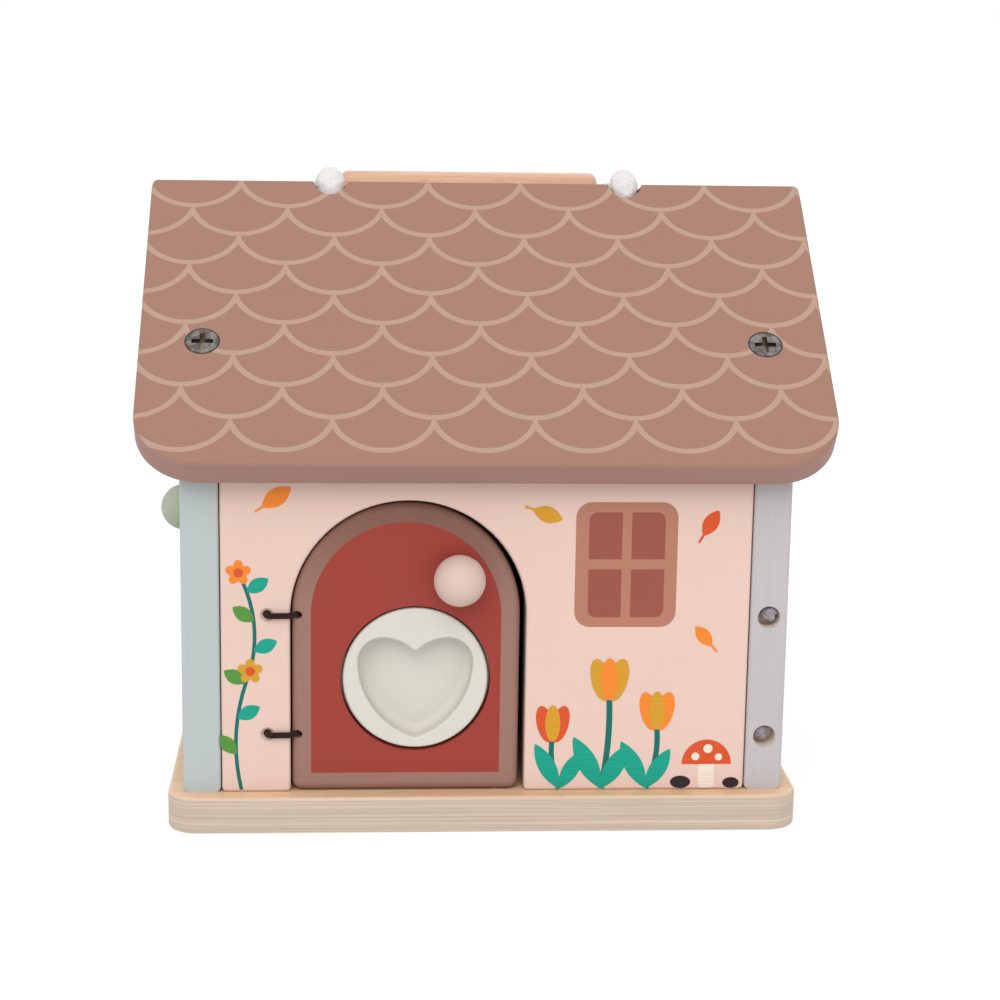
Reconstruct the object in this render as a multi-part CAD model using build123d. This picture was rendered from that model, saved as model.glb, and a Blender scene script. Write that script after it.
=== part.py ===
from build123d import *
import math
import os

# Wooden latch house with cord-hinged doors, a heart dial latch and a rope handle.
# X is to the right as seen from the front, Y to the back and Z up.
# The origin is under the middle of the base, on the surface that the house stands on.
# All lengths are in millimetres and all angles in degrees.

# House body
house_width = 192.0
house_depth = 168.0
wall_height = 120.1
board_thickness = 12.0
panel_gap = 0.3
wall_edge_radius = 1.0

# Base board
base_thickness = 12.0
base_side_margin = 5.0
base_end_margin = 6.0
base_corner_radius = 9.5
base_edge_radius = 1.2

# Roof boards
roof_pitch = 38.4
roof_thickness = 10.0
eave_overhang = 14.2
gable_overhang = 14.0
eave_corner_radius = 21.0
ridge_corner_radius = 2.5
roof_edge_radius = 1.4

# Doors and their openings, with the doors' shape given by their width over their height
head_rail = 12.75
door_slenderness = 0.766
door_corner_radius = 3.2
door_face_radius = 2.8
door_edge_radius = 1.8
hinge_gap = 0.5
latch_gap = 2.0
head_gap = 0.75
sill_gap = 0.3
front_stile = 21.8
left_stile = 13.0
right_stile = 24.0

# Door knobs
knob_diameter = 16.2
knob_centre_height = 6.0
knob_across_share = 0.729
knob_up_share = 0.751
knob_screw_bite = 8.0

# Heart dial, its retaining ring and its latch tongue
dial_share = 0.64
dial_up_share = 0.395
dial_clearance = 0.75
dial_setback = 0.6
dial_edge_radius = 0.8
dial_lip = 5.0
dial_play = 0.3
flange_reach = 1.7
ring_seat = 4.4
ring_thickness = 2.4
ring_margin = 2.8
boss_share = 0.6
boss_clearance = 6.0
tongue_gap = 0.5
tongue_overlap = 6.0
tongue_width = 14.0
tongue_thickness = 4.0
tongue_screw_share = 0.57
ring_screw_count = 4

# Heart recess, with its outline in shares of the dial's diameter
heart_crown_share = 0.2257
heart_rise_share = 0.2843
heart_shoulder_share = 0.1682
heart_notch_share = 0.178
heart_tip_share = 0.43
heart_tip_radius = 3.6
heart_notch_radius = 1.5
heart_mouth_radius = 0.8
heart_floor = 4.9
heart_floor_radius = 3.0

# Front hinge cords, laid over the panel face
front_cord_diameter = 2.0
front_cord_shares = (1.0, 0.326)
front_cord_span = 7.8
front_cord_bend = 2.0
front_cord_dip_bend = 4.0
front_cord_bite = 8.0
front_knot_diameter = 5.0

# Side hinge cords, run inside the wall boards
side_cord_diameter = 2.4
side_cord_shares = (0.984, 0.303)
side_cord_bite = 12.0
side_knot_diameter = 6.2
side_knot_depth = 3.6
knot_hole_diameter = 7.2
knot_hole_depth = 7.0
cord_clearance = 0.3

# Rope handle
rope_diameter = 7.5
rope_clearance = 0.4
rope_hole_spacing = 100.0
rope_hole_flare = 1.6
rope_knot_diameter = 14.0
rope_fold_radius = 7.0
rope_fold_drop = 1.9
rope_fold_reach = 7.5
rope_fold_rise = 4.33
rope_splay = 2.3
grip_diameter = 18.0
grip_end_gap = 5.5
grip_shift = -2.1
grip_from_ridge = 22.9
grip_bore_clearance = 0.5
grip_end_radius = 2.5
grip_roof_gap = 0.3

# Wood screws and dowels
roof_screw_head = 11.1
roof_screw_shank = 5.0
roof_screw_length = 42.0
roof_screw_share = 0.594
base_screw_head = 8.0
base_screw_shank = 4.0
base_screw_length = 26.0
base_screw_sink = 0.6
knob_screw_head = 7.0
knob_screw_shank = 3.5
ring_screw_head = 3.6
ring_screw_shank = 1.8
ring_screw_length = 7.0
tongue_screw_head = 5.0
tongue_screw_shank = 2.6
tongue_screw_bite = 3.5
screw_clearance = 0.06
screw_rim = 0.4
recess_share = 0.62
recess_width_share = 0.15
recess_depth_share = 0.2
dowel_diameter = 6.0
dowel_wall_bite = 8.0
dowel_panel_bite = 12.0
dowel_clearance = 0.05
dowel_shares = (0.35, 0.81)

# Overshoot of cutting tools past the faces that they open
cut = 2.0

# Worked out from the driving dimensions
slope = math.radians(roof_pitch)
half_width = house_width / 2
half_depth = house_depth / 2
roof_width = house_width + 2 * gable_overhang
slope_length = (half_depth + eave_overhang) / math.cos(slope)
gable_peak = wall_height + half_depth * math.tan(slope)
ridge_height = gable_peak + roof_thickness / math.cos(slope)
panel_half_width = half_width - board_thickness - panel_gap
door_foot = base_thickness + sill_gap
door_height = wall_height - panel_gap - head_rail - head_gap - door_foot
door_width = door_slenderness * door_height
hinge_length = door_height - door_width / 2
opening_width = hinge_gap + door_width + latch_gap
opening_height = sill_gap + door_height + head_gap
front_hinge_edge = -panel_half_width + front_stile + hinge_gap
left_hinge_edge = -half_depth + left_stile + hinge_gap
right_hinge_edge = -half_depth + right_stile + hinge_gap
knob_screw_length = board_thickness + knob_screw_bite
dial_diameter = dial_share * door_width
flange_diameter = dial_diameter + 2 * (dial_clearance + flange_reach - dial_play)
flange_thickness = board_thickness - ring_thickness - dial_lip - 2 * dial_play
ring_diameter = flange_diameter + 2 * (dial_play + ring_seat)
dial_from_hinge = door_width - ring_margin - dial_play - ring_diameter / 2
boss_diameter = boss_share * dial_diameter
boss_end = board_thickness + tongue_gap
heart_depth = boss_end - dial_setback - heart_floor
heart_crown_offset = heart_crown_share * dial_diameter
heart_crown_rise = heart_rise_share * dial_diameter
heart_shoulder_radius = heart_shoulder_share * dial_diameter
heart_notch_rise = heart_notch_share * dial_diameter
heart_tip_drop = heart_tip_share * dial_diameter
tongue_reach = door_width - dial_from_hinge + latch_gap + tongue_overlap
tongue_screw_spacing = tongue_screw_share * boss_diameter
tongue_screw_length = tongue_thickness + tongue_screw_bite
front_cord_heights = [door_foot + share * hinge_length for share in front_cord_shares]
side_cord_heights = [door_foot + share * hinge_length for share in side_cord_shares]
dowel_heights = [base_thickness + share * (wall_height - base_thickness) for share in dowel_shares]
roof_screw_from_ridge = roof_screw_share * slope_length
grip_length = rope_hole_spacing - 2 * grip_end_gap
rope_radius = rope_diameter / 2

# Frames on the outer faces: X to the right as seen from outside, Y up, Z outward
front_side = Plane(origin=(0, -half_depth, 0), x_dir=(1, 0, 0), z_dir=(0, -1, 0))
back_side = Plane(origin=(0, half_depth, 0), x_dir=(-1, 0, 0), z_dir=(0, 1, 0))
left_side = Plane(origin=(-half_width, 0, 0), x_dir=(0, -1, 0), z_dir=(-1, 0, 0))
right_side = Plane(origin=(half_width, 0, 0), x_dir=(0, 1, 0), z_dir=(1, 0, 0))

# Frames on the roof faces: origin on the ridge, Y up the slope, Z outward
ridge = (0, 0, ridge_height)
front_slope = Plane(origin=ridge, x_dir=(1, 0, 0), z_dir=(0, -math.sin(slope), math.cos(slope)))
back_slope = Plane(origin=ridge, x_dir=(-1, 0, 0), z_dir=(0, math.sin(slope), math.cos(slope)))

# Turns a piece over, so that a screw drawn point down drives in from behind
flip = Rot(180, 0, 0)
standing = (Align.CENTER, Align.CENTER, Align.MIN)


def slab(face, outer, inner):
    """Solid of a flat outline between two depths below a side's outer face."""
    return extrude(Pos(0, 0, -inner) * face, inner - outer, dir=(0, 0, 1))


def disc(diameter, outer, inner):
    """Round slab between two depths below a side's outer face."""
    return slab(Circle(diameter / 2), outer, inner)


def rod(start, end, diameter):
    """Straight round bar between two points."""
    line = Line(start, end)
    return extrude(Plane(origin=start, z_dir=line % 0) * Circle(diameter / 2), line.length)


def arch(width, height):
    """Door outline with a round head, its foot on the X axis and its hinge edge on the Y axis."""
    radius = width / 2
    spring = height - radius
    jambs = Polyline((0, spring), (0, 0), (width, 0), (width, spring))
    head = ThreePointArc((width, spring), (radius, height), (0, spring))
    return make_face(jambs + head)


# Countersunk screws, drawn along Z with the head's flat face at Z 0 and the point down
def screw_body(head, shank, length, clearance):
    """Turned body of a screw, grown by a clearance."""
    rim = -screw_rim - clearance
    outline = Polyline(
        (0, 0),
        (head / 2 + clearance, 0),
        (head / 2 + clearance, rim),
        (shank / 2 + clearance, rim - (head - shank) / 2),
        (shank / 2 + clearance, -length + shank),
        (0, -length - clearance),
        close=True,
    )
    return revolve(Plane.XZ * make_face(outline), Axis.Z)


def screw(head, shank, length):
    """Screw with a cross recess in its head."""
    body = screw_body(head, shank, length, 0)
    for turn in (0, 90):
        slot = Box(head * recess_share, head * recess_width_share, 2 * head * recess_depth_share)
        body -= Rot(0, 0, turn) * slot
    return body


def screw_hole(head, shank, length):
    """Tool that cuts a screw's seat, open above its head."""
    bore = screw_body(head, shank, length, screw_clearance)
    return bore + Cylinder(head / 2 + screw_clearance, cut, align=standing)


def drill(board, places, head, shank, length):
    """Cuts screw seats at the given places."""
    for place in places:
        board -= place * screw_hole(head, shank, length)
    return board


def screws(places, head, shank, length):
    """Group of equal screws at the given places."""
    return Compound([place * screw(head, shank, length) for place in places])


def roof_screw_places():
    """Head frames of the roof screws, two on each roof board, over the side walls."""
    across = half_width - board_thickness / 2
    spots = [Pos(x, -roof_screw_from_ridge, 0) for x in (-across, across)]
    return [face.location * spot for face in (front_slope, back_slope) for spot in spots]


def base_screw_places():
    """Head frames of the base screws, which point up into the walls and panels."""
    wall_x = half_width - board_thickness / 2
    panel_y = half_depth - board_thickness / 2
    left_free = half_depth - left_hinge_edge - door_width - latch_gap
    right_free = half_depth - right_hinge_edge - door_width - latch_gap
    front_free = panel_half_width - front_hinge_edge - door_width - latch_gap
    spots = [(-panel_half_width + front_stile / 2, -panel_y)]
    spots += [(-panel_half_width / 2, panel_y), (panel_half_width / 2, panel_y)]
    for share in (0.3, 0.75):
        spots.append((-wall_x, -half_depth + share * left_free))
        spots.append((wall_x, half_depth - share * right_free))
        spots.append((panel_half_width - share * front_free, -panel_y))
    return [Pos(x, y, base_screw_sink) * flip for x, y in spots]


def dowels(extra):
    """Dowels that tie the panels to the side walls, grown by a clearance."""
    length = dowel_wall_bite + panel_gap + dowel_panel_bite
    across = half_width - board_thickness + dowel_wall_bite - length / 2
    along = half_depth - board_thickness / 2
    bar = Rot(0, 90, 0) * Cylinder(dowel_diameter / 2 + extra, length + 2 * extra)
    return [Pos(x, y, z) * bar for x in (-across, across) for y in (-along, along) for z in dowel_heights]


def fasten(board):
    """Cuts the screw and dowel holes that a wall or panel shares with its neighbours."""
    board = drill(board, base_screw_places(), base_screw_head, base_screw_shank, base_screw_length)
    board = drill(board, roof_screw_places(), roof_screw_head, roof_screw_shank, roof_screw_length)
    for bar in dowels(dowel_clearance):
        board -= bar
    return board


# Boards of the house
def base_board():
    """Plywood base with rounded corners and screw seats in its underside."""
    width = house_width + 2 * base_side_margin
    depth = house_depth + 2 * base_end_margin
    board = extrude(RectangleRounded(width, depth, base_corner_radius), base_thickness)
    faces = board.faces().sort_by(Axis.Z)
    board = fillet(faces[0].edges() + faces[-1].edges(), base_edge_radius)
    return drill(board, base_screw_places(), base_screw_head, base_screw_shank, base_screw_length)


def opening(hinge_edge):
    """Tool that cuts a door's opening in a side's frame, down through the board's foot."""
    outline = arch(opening_width, opening_height + cut)
    return Pos(hinge_edge - hinge_gap, base_thickness - cut, 0) * slab(outline, -cut, board_thickness + cut)


def panel():
    """Plain panel in the frame of the side that it closes."""
    height = wall_height - panel_gap - base_thickness
    outline = Rectangle(2 * panel_half_width, height, align=(Align.CENTER, Align.MIN))
    return slab(Pos(0, base_thickness) * outline, 0, board_thickness)


def front_panel():
    """Front panel with the arched opening and the holes of the hinge cords."""
    board = panel() - opening(front_hinge_edge)
    board = fillet(board.faces().sort_by(Axis.Z)[-1].edges(), wall_edge_radius)
    for height in front_cord_heights:
        board -= front_cord_hole(height)
    return fasten(front_side * board)


def back_panel():
    """Plain back panel."""
    board = panel()
    board = fillet(board.faces().sort_by(Axis.Z)[-1].edges(), wall_edge_radius)
    return fasten(back_side * board)


def side_wall(side, hinge_edge):
    """Gable wall with an arched opening and the hinge cord holes in its edge."""
    outline = Polyline(
        (-half_depth, base_thickness),
        (half_depth, base_thickness),
        (half_depth, wall_height),
        (0, gable_peak),
        (-half_depth, wall_height),
        close=True,
    )
    board = slab(make_face(outline), 0, board_thickness)
    corners = board.edges().filter_by(Axis.Y)
    board = fillet(corners, wall_edge_radius) - opening(hinge_edge)
    for height in side_cord_heights:
        board -= side_cord_hole(hinge_edge, height)
    return fasten(side * board)


def on_mitre(edge):
    """True for an edge that lies in the mitre plane of a roof board."""
    points = [edge.position_at(t) for t in (0, 0.5, 1)]
    return all(abs(p.Y - p.Z * math.tan(slope)) < 0.001 for p in points)


def ridge_end_cut(end):
    """Tool that rounds a roof board's corner at the ridge, along the mitre."""
    r = ridge_corner_radius
    waste = Rectangle(r + cut, r + cut, align=(Align.MIN, Align.MIN)) - Circle(r)
    tool = Pos(roof_width / 2 - r, -r, 0) * waste
    tool = extrude(tool, roof_thickness / math.cos(slope) + cut, dir=(0, -math.sin(slope), -math.cos(slope)))
    return tool if end > 0 else mirror(tool, Plane.YZ)


def roof_board(face):
    """Sloping roof board, mitred at the ridge, with round lower corners."""
    lower = -roof_thickness
    section = Polyline(
        (0, 0),
        (-slope_length, 0),
        (-slope_length, lower),
        (lower * math.tan(slope), lower),
        close=True,
    )
    board = extrude(Plane.YZ * make_face(section), roof_width / 2, both=True)
    board = fillet(board.edges().filter_by(Axis.Z), eave_corner_radius)
    faces = board.faces().sort_by(Axis.Z)
    rims = [e for e in faces[-1].edges() + faces[0].edges() if not on_mitre(e)]
    board = fillet(rims, roof_edge_radius) - ridge_end_cut(1) - ridge_end_cut(-1)
    board = face * board
    for tool in rope_holes():
        board -= tool
    return drill(board, roof_screw_places(), roof_screw_head, roof_screw_shank, roof_screw_length)


def rope_holes():
    """Tools for the upright holes through the ridge, flared at the mouth."""
    radius = rope_radius + rope_clearance
    foot = gable_peak - 2 * rope_diameter
    bore = Pos(0, 0, foot) * Cylinder(radius, ridge_height - foot + cut, align=standing)
    flare = Cone(radius, radius + rope_hole_flare, rope_diameter, align=standing)
    tool = bore + Pos(0, 0, ridge_height - rope_diameter) * flare
    return [Pos(x, 0, 0) * tool for x in (-rope_hole_spacing / 2, rope_hole_spacing / 2)]


# Hinge cords, in the frame of their side
def front_cord_route(height):
    """Corners of a front hinge cord: through the panel, over its face, into the door's round edge."""
    hole = front_hinge_edge - front_cord_span
    proud = front_cord_diameter / 2 + cord_clearance / 2
    corner = front_hinge_edge + cord_clearance
    bite = front_cord_bite * math.sin(math.radians(45))
    return [
        (hole, height, -board_thickness - front_knot_diameter / 2 - cord_clearance),
        (hole, height, proud),
        (corner, height, proud),
        (corner + bite, height, proud - bite),
    ]


def front_cord_hole(height):
    """Tool for the hole that a front hinge cord leaves the panel by, with an eased mouth."""
    points = front_cord_route(height)
    radius = front_cord_diameter / 2 + cord_clearance
    flare = Cone(radius, radius + front_cord_bend, front_cord_bend, align=standing)
    mouth = Pos(points[1][0], height, -front_cord_bend / 2) * flare
    return rod(points[0], points[1], 2 * radius) + mouth


def front_cord(height):
    """Front hinge cord with its stopper knot behind the panel."""
    points = front_cord_route(height)
    route = FilletPolyline(*points, radius=[front_cord_bend, front_cord_dip_bend])
    tube = sweep(Plane(origin=points[0], z_dir=(0, 0, 1)) * Circle(front_cord_diameter / 2), path=route)
    return front_side * (tube + Pos(*points[0]) * Sphere(front_knot_diameter / 2))


def side_cord_ends(hinge_edge, height):
    """Ends of a side hinge cord: its knot in the wall's edge and its tail in the door."""
    depth = -board_thickness / 2
    return (-half_depth + side_knot_depth, height, depth), (hinge_edge + side_cord_bite, height, depth)


def side_cord_hole(hinge_edge, height):
    """Tool for a side hinge cord's bore and the wide knot hole in the wall's edge."""
    start, end = side_cord_ends(hinge_edge, height)
    mouth = (-half_depth - cut, height, start[2])
    seat = (-half_depth + knot_hole_depth, height, start[2])
    return rod(mouth, seat, knot_hole_diameter) + rod(start, end, side_cord_diameter + 2 * cord_clearance)


def side_cord(side, hinge_edge, height):
    """Side hinge cord with its stopper knot."""
    start, end = side_cord_ends(hinge_edge, height)
    knot = Pos(*start) * Rot(0, 90, 0) * Sphere(side_knot_diameter / 2)
    return side * (rod(start, end, side_cord_diameter) + knot)


# Doors and knobs, in a door's frame: hinge edge on the Y axis, foot on the X axis, outer face at Z 0
knob_place = Pos(knob_across_share * door_width, knob_up_share * door_height, 0)
knob_screw_place = [Pos(0, 0, -board_thickness) * flip]
dial_place = Pos(dial_from_hinge, dial_up_share * door_height, 0)


def on_door(side, hinge_edge, piece):
    """Moves a piece from a door's frame to its place in the house."""
    return side * Pos(hinge_edge, door_foot, 0) * piece


def door_board():
    """Arched door leaf with rounded edges and the seat of its knob screw."""
    board = slab(arch(door_width, door_height), 0, board_thickness)
    board = fillet(board.edges().filter_by(Axis.Z).group_by(Axis.Y)[0], door_corner_radius)
    faces = board.faces().sort_by(Axis.Z)
    board = fillet(faces[-1].edges(), door_face_radius)
    board = fillet(board.faces().sort_by(Axis.Z)[0].edges(), door_edge_radius)
    places = [knob_place * place for place in knob_screw_place]
    return drill(board, places, knob_screw_head, knob_screw_shank, knob_screw_length)


def knob():
    """Ball knob with a flat seat on the door's face."""
    ball = Pos(0, 0, knob_centre_height) * Sphere(knob_diameter / 2)
    ball = split(ball, Plane.XY, keep=Keep.TOP)
    return drill(ball, knob_screw_place, knob_screw_head, knob_screw_shank, knob_screw_length)


def knob_screw():
    """Screw that holds a knob from behind its door."""
    return screws(knob_screw_place, knob_screw_head, knob_screw_shank, knob_screw_length)


def front_door():
    """Front door leaf with the dial's stepped hole and the hinge cord holes."""
    board = door_board()
    ring_seat_depth = board_thickness - ring_thickness
    board -= dial_place * disc(dial_diameter + 2 * dial_clearance, -cut, board_thickness)
    board -= dial_place * disc(flange_diameter + 2 * dial_play, dial_lip, board_thickness + cut)
    board -= dial_place * disc(ring_diameter + 2 * dial_play, ring_seat_depth, board_thickness + cut)
    places = [dial_place * place for place in ring_screw_places()]
    board = drill(board, places, ring_screw_head, ring_screw_shank, ring_screw_length)
    board = on_door(front_side, front_hinge_edge, board)
    for height in front_cord_heights:
        points = front_cord_route(height)
        board -= front_side * rod(points[2], points[3], front_cord_diameter + 2 * cord_clearance)
    return board


def side_door(side, hinge_edge):
    """Plain side door leaf with the hinge cord holes in its edge."""
    board = on_door(side, hinge_edge, door_board())
    for height in side_cord_heights:
        start, end = side_cord_ends(hinge_edge, height)
        board -= side * rod(start, end, side_cord_diameter + 2 * cord_clearance)
    return board


# Heart dial and latch, in the frame of the dial's axis on the door's outer face
def on_dial(piece):
    """Moves a piece from the dial's frame to its place in the front door."""
    return on_door(front_side, front_hinge_edge, dial_place * piece)


def ring_screw_places():
    """Head frames of the ring screws, flush with the door's inner face."""
    radius = ring_diameter / 2 - ring_seat / 2
    turns = [360 * (i + 0.5) / ring_screw_count for i in range(ring_screw_count)]
    return [Rot(0, 0, turn) * Pos(radius, 0, -board_thickness) * flip for turn in turns]


def tongue_screw_places():
    """Head frames of the tongue screws, flush with the tongue's rear face."""
    rear = -boss_end - tongue_thickness
    return [Pos(x, 0, rear) * flip for x in (-tongue_screw_spacing / 2, tongue_screw_spacing / 2)]


def heart_outline():
    """Heart whose halves are a crown arc, a shoulder arc and a long flank arc, with a soft notch and tip."""
    notch = (0, heart_notch_rise)
    crown = (heart_crown_offset, heart_crown_rise)
    widest = (heart_crown_offset + heart_shoulder_radius, heart_crown_rise - heart_shoulder_radius)
    tip = (0, -heart_tip_drop)
    half = TangentArc(crown, notch, tangent=(-1, 0))
    half += TangentArc(crown, widest, tangent=(1, 0))
    half += TangentArc(widest, tip, tangent=(0, -1))
    face = make_face(half + mirror(half, Plane.YZ))
    face = fillet(face.vertices().sort_by_distance(notch)[0], heart_notch_radius)
    return fillet(face.vertices().sort_by_distance(tip)[0], heart_tip_radius)


def heart_dial():
    """Turning dial: front disc with the heart recess, hidden flange and rear boss."""
    front = disc(dial_diameter, dial_setback, dial_lip + dial_play)
    front = fillet(front.faces().sort_by(Axis.Z)[-1].edges(), dial_edge_radius)
    flange_rear = dial_lip + dial_play + flange_thickness
    dial = front + disc(flange_diameter, dial_lip + dial_play, flange_rear)
    dial += disc(boss_diameter, flange_rear, boss_end)
    recess = slab(heart_outline(), dial_setback - cut, dial_setback + heart_depth)
    dial -= fillet(recess.faces().sort_by(Axis.Z)[0].edges(), heart_floor_radius)
    mouth = dial.faces().sort_by(Axis.Z)[-1].inner_wires()[0]
    dial = fillet(mouth.edges(), heart_mouth_radius)
    return drill(dial, tongue_screw_places(), tongue_screw_head, tongue_screw_shank, tongue_screw_length)


def dial_retaining_ring():
    """Ring let into the door's inner face, which keeps the dial from falling in."""
    ring = disc(ring_diameter, board_thickness - ring_thickness, board_thickness)
    ring -= disc(boss_diameter + 2 * boss_clearance, 0, board_thickness + cut)
    return drill(ring, ring_screw_places(), ring_screw_head, ring_screw_shank, ring_screw_length)


def latch_tongue():
    """Latch bar on the dial's boss, pointing up at rest."""
    length = tongue_reach - tongue_width / 2
    bar = Rectangle(tongue_width, length, align=(Align.CENTER, Align.MIN))
    outline = Circle(boss_diameter / 2) + bar + Pos(0, length) * Circle(tongue_width / 2)
    tongue = slab(outline, boss_end, boss_end + tongue_thickness)
    return drill(tongue, tongue_screw_places(), tongue_screw_head, tongue_screw_shank, tongue_screw_length)


# Rope handle
def grip_axis():
    """Y and Z of the grip's axis as it lies on the back roof board."""
    lift = grip_diameter / 2 + grip_roof_gap
    y = grip_from_ridge * math.cos(slope) + lift * math.sin(slope)
    z = ridge_height - grip_from_ridge * math.sin(slope) + lift * math.cos(slope)
    return y, z


def rope_leg(end):
    """Corners of the rope from the knot under the ridge to the grip, for the end at -X or +X."""
    x = end * rope_hole_spacing / 2
    y, z = grip_axis()
    knot = gable_peak - (rope_knot_diameter / 2 + rope_clearance) / math.cos(slope)
    fold = ridge_height - rope_fold_drop
    return [
        (x, 0, knot),
        (x, 0, fold),
        (x, rope_fold_reach, fold + rope_fold_rise),
        (x + grip_shift + end * rope_splay, y, z),
    ]


def handle_rope():
    """Handle rope with a stopper knot at each end, under the ridge."""
    points = rope_leg(-1) + rope_leg(1)[::-1]
    corners = [rope_fold_radius, rope_fold_radius, rope_diameter]
    corners += corners[::-1]
    route = FilletPolyline(*points, radius=corners)
    print("rope bend radii", corners, "rope length", round(route.length, 1))
    rope = sweep(Plane(origin=points[0], z_dir=(0, 0, 1)) * Circle(rope_radius), path=route)
    for end in (points[0], points[-1]):
        rope += Pos(*end) * Sphere(rope_knot_diameter / 2)
    return rope


def handle_grip():
    """Turned grip that the rope runs through."""
    grip = Cylinder(grip_diameter / 2, grip_length)
    grip = fillet(grip.edges().filter_by(GeomType.CIRCLE), grip_end_radius)
    grip -= Cylinder(rope_radius + grip_bore_clearance, grip_length + cut)
    return Pos(grip_shift, *grip_axis()) * Rot(0, 90, 0) * grip


parts = {
    "base_board": base_board(),
    "front_panel": front_panel(),
    "back_panel": back_panel(),
    "left_wall": side_wall(left_side, left_hinge_edge),
    "right_wall": side_wall(right_side, right_hinge_edge),
    "front_roof_board": roof_board(front_slope),
    "back_roof_board": roof_board(back_slope),
    "roof_screws": screws(roof_screw_places(), roof_screw_head, roof_screw_shank, roof_screw_length),
    "base_screws": screws(base_screw_places(), base_screw_head, base_screw_shank, base_screw_length),
    "wall_dowels": Compound(dowels(0)),
    "front_hinge_cord_upper": front_cord(front_cord_heights[0]),
    "front_hinge_cord_lower": front_cord(front_cord_heights[1]),
    "left_hinge_cord_upper": side_cord(left_side, left_hinge_edge, side_cord_heights[0]),
    "left_hinge_cord_lower": side_cord(left_side, left_hinge_edge, side_cord_heights[1]),
    "right_hinge_cord_upper": side_cord(right_side, right_hinge_edge, side_cord_heights[0]),
    "right_hinge_cord_lower": side_cord(right_side, right_hinge_edge, side_cord_heights[1]),
    "front_door": front_door(),
    "front_knob": on_door(front_side, front_hinge_edge, knob_place * knob()),
    "front_knob_screw": on_door(front_side, front_hinge_edge, knob_place * knob_screw()),
    "dial_retaining_ring": on_dial(dial_retaining_ring()),
    "ring_screws": on_dial(screws(ring_screw_places(), ring_screw_head, ring_screw_shank, ring_screw_length)),
    "heart_dial": on_dial(heart_dial()),
    "latch_tongue": on_dial(latch_tongue()),
    "tongue_screws": on_dial(
        screws(tongue_screw_places(), tongue_screw_head, tongue_screw_shank, tongue_screw_length)
    ),
    "left_door": side_door(left_side, left_hinge_edge),
    "left_knob": on_door(left_side, left_hinge_edge, knob_place * knob()),
    "left_knob_screw": on_door(left_side, left_hinge_edge, knob_place * knob_screw()),
    "right_door": side_door(right_side, right_hinge_edge),
    "right_knob": on_door(right_side, right_hinge_edge, knob_place * knob()),
    "right_knob_screw": on_door(right_side, right_hinge_edge, knob_place * knob_screw()),
    "handle_rope": handle_rope(),
    "handle_grip": handle_grip(),
}

print("front cord bend radii", front_cord_bend, front_cord_dip_bend)
os.makedirs("parts", exist_ok=True)
for name, shape in parts.items():
    export_step(shape, "parts/" + name + ".step")
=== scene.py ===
import math

import bmesh
import bpy
from mathutils import Matrix, Vector


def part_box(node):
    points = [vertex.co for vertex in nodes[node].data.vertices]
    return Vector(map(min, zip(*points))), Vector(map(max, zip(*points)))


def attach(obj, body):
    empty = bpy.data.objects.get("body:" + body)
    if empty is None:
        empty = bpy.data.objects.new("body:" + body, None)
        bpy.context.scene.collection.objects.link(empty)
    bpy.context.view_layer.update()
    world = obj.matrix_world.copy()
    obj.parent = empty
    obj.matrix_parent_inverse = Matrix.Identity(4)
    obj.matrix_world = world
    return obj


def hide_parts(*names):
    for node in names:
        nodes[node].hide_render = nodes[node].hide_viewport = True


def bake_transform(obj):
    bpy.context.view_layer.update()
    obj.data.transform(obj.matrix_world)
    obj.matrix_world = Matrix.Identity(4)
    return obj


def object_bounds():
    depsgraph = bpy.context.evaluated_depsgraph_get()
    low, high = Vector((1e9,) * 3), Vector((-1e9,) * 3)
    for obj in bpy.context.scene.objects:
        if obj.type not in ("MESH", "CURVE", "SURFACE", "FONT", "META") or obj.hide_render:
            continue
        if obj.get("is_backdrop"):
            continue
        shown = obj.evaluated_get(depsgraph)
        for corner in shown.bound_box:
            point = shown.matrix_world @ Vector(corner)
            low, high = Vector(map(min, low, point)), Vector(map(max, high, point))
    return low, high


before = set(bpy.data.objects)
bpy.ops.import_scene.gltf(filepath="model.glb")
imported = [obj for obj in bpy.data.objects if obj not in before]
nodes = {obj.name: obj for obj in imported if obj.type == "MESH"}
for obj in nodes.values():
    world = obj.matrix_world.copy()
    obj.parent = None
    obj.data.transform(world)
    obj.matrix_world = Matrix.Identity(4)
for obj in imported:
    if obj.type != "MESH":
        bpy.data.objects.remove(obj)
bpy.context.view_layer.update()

# Sizes of the model, in metres
MM = 0.001
FACE_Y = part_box("front_panel")[0][1]
PITCH = math.radians(38.4)
RIDGE_Z = 0.19944
BASE_THICKNESS = 12 * MM
PLIES = 9
DOOR_RIM = 6 * MM
SCREW_HEAD_RADIUS = 5.55 * MM
KNOT_HOLE_RADIUS = 3.75 * MM
KNOT_HOLE_REACH = 8 * MM
FOOT_RADIUS = 1.7 * MM

# Places in the model, in millimetres
WALL_X = 90.0
HALF_DEPTH = 84.0
FRONT_CORDS = {"front_hinge_cord_upper": 70.3, "front_hinge_cord_lower": 31.21}
SIDE_CORDS = {"upper": 69.37, "lower": 29.87}
SIDE_HINGES = {"left": (-1, 70.75), "right": (1, 59.75)}
SIDE_KNOT_Y = 80.4
ROPE_X = 50.0
ROPE_KNOT_Z = 177.24
GROUND = 12.6


def linear(red, green, blue, level=0.755):
    """Surface colour that shows as a display colour, in steps of 255, under the studio's light level."""
    out = []
    for step in (red, green, blue):
        c = step / 255
        out.append(level * (c / 12.92 if c <= 0.04045 else ((c + 0.055) / 1.055) ** 2.4))
    return (*out, 1.0)


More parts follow.
